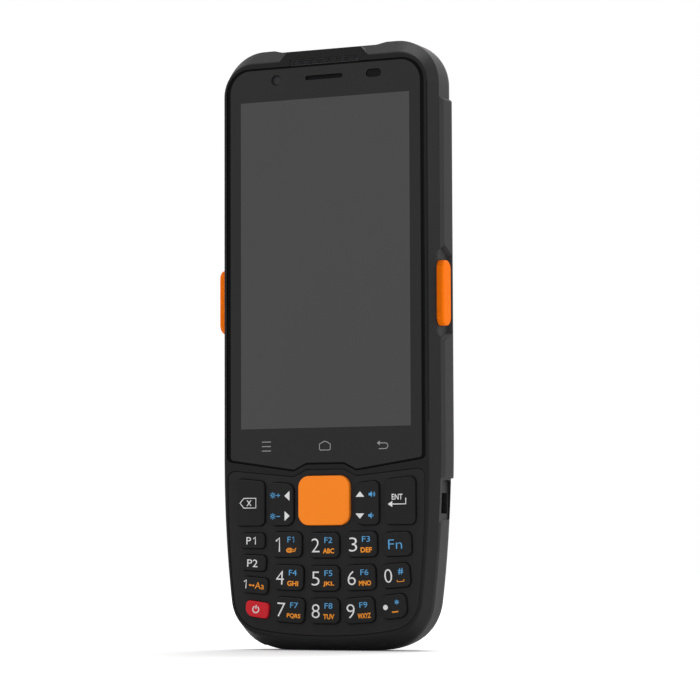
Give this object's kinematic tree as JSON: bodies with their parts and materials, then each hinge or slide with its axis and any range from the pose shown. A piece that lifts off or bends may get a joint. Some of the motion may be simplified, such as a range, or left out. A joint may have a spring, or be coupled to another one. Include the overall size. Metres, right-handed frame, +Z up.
{
  "type": "handheld barcode data terminal",
  "caption": "Bar-shaped handheld data terminal: tall touch screen over a keypad with a wide scan key, a scan trigger on each side, a scan window on top and a clip-off battery cover.",
  "frame": {"origin": "middle of the bounding box's bottom, with the device standing upright on its bottom end", "axes": "+X across the front to the right, +Y into the device from its front, +Z up to the scan window"},
  "size_m": [0.0662, 0.016, 0.162],
  "materials": {
    "housing_black": "fine matt black moulded plastic",
    "housing_rear": "fine matt black moulded plastic",
    "seal_rubber": "soft black rubber",
    "screw_steel": "blackened steel",
    "cover_glass": "black bordered cover glass",
    "display_panel": "dark grey display",
    "keypad_plate": "satin black plastic",
    "mat_rubber": "silicone rubber",
    "circuit_board": "green solder mask",
    "dome_steel": "sprung steel",
    "grille_metal": "black painted metal",
    "module_black": "moulded black plastic",
    "mesh_metal": "black gauze",
    "camera_body": "black lens barrel",
    "sensor_pipe": "dark clear plastic",
    "frame_metal": "die cast light metal",
    "can_steel": "tinned steel",
    "antenna_plastic": "plastic carrier",
    "trigger_orange": "satin orange plastic",
    "grip_rubber": "soft black rubber",
    "battery_wrap": "wrapped battery case",
    "contact_brass": "gilded springs",
    "cover_plastic": "fine matt black plastic",
    "latch_plastic": "satin black plastic",
    "scan_glass": "dark red filter glass",
    "lens_glass": "coated glass",
    "flash_plastic": "clear diffuser",
    "socket_steel": "stainless steel",
    "flap_rubber": "soft black rubber",
    "motor_steel": "steel can",
    "key_black": "satin black plastic",
    "key_orange": "satin orange plastic",
    "key_red": "satin red plastic"
  },
  "bodies": {
    "housing": {"front_housing": "housing_black", "rear_housing": "housing_rear", "cover_seal": "seal_rubber", "housing_screws": "screw_steel", "touch_glass": "cover_glass", "display_module": "display_panel", "keypad_plate": "keypad_plate", "keypad_mat": "mat_rubber", "keypad_board": "circuit_board", "key_domes": "dome_steel", "speaker_grille": "grille_metal", "loudspeaker": "module_black", "earpiece": "module_black", "earpiece_mesh": "mesh_metal", "front_camera": "camera_body", "light_sensor": "sensor_pipe", "middle_frame": "frame_metal", "main_board": "circuit_board", "shield_cans": "can_steel", "card_tray": "can_steel", "antenna": "antenna_plastic", "side_switches": "module_black", "side_grip_right": "grip_rubber", "side_grip_left": "grip_rubber", "battery_pack": "battery_wrap", "battery_contacts": "contact_brass", "scan_window": "scan_glass", "scan_engine": "module_black", "rear_camera": "camera_body", "rear_camera_glass": "lens_glass", "flash_lens": "flash_plastic", "usb_socket": "socket_steel", "charge_board": "circuit_board", "vibration_motor": "motor_steel"},
    "key_scan": {"key_scan": "key_orange"},
    "key_delete": {"key_delete": "key_black"},
    "key_enter": {"key_enter": "key_black"},
    "key_1": {"key_1": "key_black"},
    "key_2": {"key_2": "key_black"},
    "key_3": {"key_3": "key_black"},
    "key_4": {"key_4": "key_black"},
    "key_5": {"key_5": "key_black"},
    "key_6": {"key_6": "key_black"},
    "key_7": {"key_7": "key_black"},
    "key_8": {"key_8": "key_black"},
    "key_9": {"key_9": "key_black"},
    "key_fn": {"key_fn": "key_black"},
    "key_0": {"key_0": "key_black"},
    "key_dot": {"key_dot": "key_black"},
    "key_p1": {"key_p1": "key_black"},
    "key_p2": {"key_p2": "key_black"},
    "key_mode": {"key_mode": "key_black"},
    "key_power": {"key_power": "key_red"},
    "rocker_left": {"rocker_left": "key_black"},
    "rocker_right": {"rocker_right": "key_black"},
    "trigger_right": {"trigger_right": "trigger_orange"},
    "trigger_left": {"trigger_left": "trigger_orange"},
    "battery_cover": {"battery_cover": "cover_plastic"},
    "cover_latch": {"cover_latch": "latch_plastic"},
    "usb_flap": {"usb_flap": "flap_rubber"}
  },
  "joints": [
    {"name": "key_scan_press", "type": "slide", "parent": "housing", "child": "key_scan", "axis": [0, 1, 0], "range_m": [0, 0.0004], "stiffness_N_per_m": 500, "springref_m": -0.0005},
    {"name": "key_delete_press", "type": "slide", "parent": "housing", "child": "key_delete", "axis": [0, 1, 0], "range_m": [0, 0.0004], "stiffness_N_per_m": 500, "springref_m": -0.0005},
    {"name": "key_enter_press", "type": "slide", "parent": "housing", "child": "key_enter", "axis": [0, 1, 0], "range_m": [0, 0.0004], "stiffness_N_per_m": 500, "springref_m": -0.0005},
    {"name": "key_1_press", "type": "slide", "parent": "housing", "child": "key_1", "axis": [0, 1, 0], "range_m": [0, 0.0004], "stiffness_N_per_m": 500, "springref_m": -0.0005},
    {"name": "key_2_press", "type": "slide", "parent": "housing", "child": "key_2", "axis": [0, 1, 0], "range_m": [0, 0.0004], "stiffness_N_per_m": 500, "springref_m": -0.0005},
    {"name": "key_3_press", "type": "slide", "parent": "housing", "child": "key_3", "axis": [0, 1, 0], "range_m": [0, 0.0004], "stiffness_N_per_m": 500, "springref_m": -0.0005},
    {"name": "key_4_press", "type": "slide", "parent": "housing", "child": "key_4", "axis": [0, 1, 0], "range_m": [0, 0.0004], "stiffness_N_per_m": 500, "springref_m": -0.0005},
    {"name": "key_5_press", "type": "slide", "parent": "housing", "child": "key_5", "axis": [0, 1, 0], "range_m": [0, 0.0004], "stiffness_N_per_m": 500, "springref_m": -0.0005},
    {"name": "key_6_press", "type": "slide", "parent": "housing", "child": "key_6", "axis": [0, 1, 0], "range_m": [0, 0.0004], "stiffness_N_per_m": 500, "springref_m": -0.0005},
    {"name": "key_7_press", "type": "slide", "parent": "housing", "child": "key_7", "axis": [0, 1, 0], "range_m": [0, 0.0004], "stiffness_N_per_m": 500, "springref_m": -0.0005},
    {"name": "key_8_press", "type": "slide", "parent": "housing", "child": "key_8", "axis": [0, 1, 0], "range_m": [0, 0.0004], "stiffness_N_per_m": 500, "springref_m": -0.0005},
    {"name": "key_9_press", "type": "slide", "parent": "housing", "child": "key_9", "axis": [0, 1, 0], "range_m": [0, 0.0004], "stiffness_N_per_m": 500, "springref_m": -0.0005},
    {"name": "key_fn_press", "type": "slide", "parent": "housing", "child": "key_fn", "axis": [0, 1, 0], "range_m": [0, 0.0004], "stiffness_N_per_m": 500, "springref_m": -0.0005},
    {"name": "key_0_press", "type": "slide", "parent": "housing", "child": "key_0", "axis": [0, 1, 0], "range_m": [0, 0.0004], "stiffness_N_per_m": 500, "springref_m": -0.0005},
    {"name": "key_dot_press", "type": "slide", "parent": "housing", "child": "key_dot", "axis": [0, 1, 0], "range_m": [0, 0.0004], "stiffness_N_per_m": 500, "springref_m": -0.0005},
    {"name": "key_p1_press", "type": "slide", "parent": "housing", "child": "key_p1", "axis": [0, 1, 0], "range_m": [0, 0.0004], "stiffness_N_per_m": 500, "springref_m": -0.0005},
    {"name": "key_p2_press", "type": "slide", "parent": "housing", "child": "key_p2", "axis": [0, 1, 0], "range_m": [0, 0.0004], "stiffness_N_per_m": 500, "springref_m": -0.0005},
    {"name": "key_mode_press", "type": "slide", "parent": "housing", "child": "key_mode", "axis": [0, 1, 0], "range_m": [0, 0.0004], "stiffness_N_per_m": 500, "springref_m": -0.0005},
    {"name": "key_power_press", "type": "slide", "parent": "housing", "child": "key_power", "axis": [0, 1, 0], "range_m": [0, 0.0004], "stiffness_N_per_m": 500, "springref_m": -0.0005},
    {"name": "rocker_left_tilt", "type": "hinge", "parent": "housing", "child": "rocker_left", "pos_m": [-0.01245, -0.0057, 0.03876], "axis": [1, 0, 0], "range_deg": [-2, 2], "stiffness_Nm_per_rad": 0.03},
    {"name": "rocker_right_tilt", "type": "hinge", "parent": "housing", "child": "rocker_right", "pos_m": [0.01245, -0.0057, 0.03876], "axis": [1, 0, 0], "range_deg": [-2, 2], "stiffness_Nm_per_rad": 0.03},
    {"name": "trigger_right_press", "type": "slide", "parent": "housing", "child": "trigger_right", "axis": [-1, 0, 0], "range_m": [0, 0.0006], "stiffness_N_per_m": 600, "springref_m": -0.0005},
    {"name": "trigger_left_press", "type": "slide", "parent": "housing", "child": "trigger_left", "axis": [1, 0, 0], "range_m": [0, 0.0006], "stiffness_N_per_m": 600, "springref_m": -0.0005},
    {"name": "cover_lift", "type": "slide", "parent": "housing", "child": "battery_cover", "axis": [0, 1, 0], "range_m": [0, 0.025]},
    {"name": "latch_slide", "type": "slide", "parent": "battery_cover", "child": "cover_latch", "axis": [0, 0, 1], "range_m": [0, 0.0025]},
    {"name": "flap_swing", "type": "hinge", "parent": "housing", "child": "usb_flap", "pos_m": [0.0065, 0.0003, 0.00065], "axis": [0, -1, 0], "range_deg": [0, 100]}
  ]
}
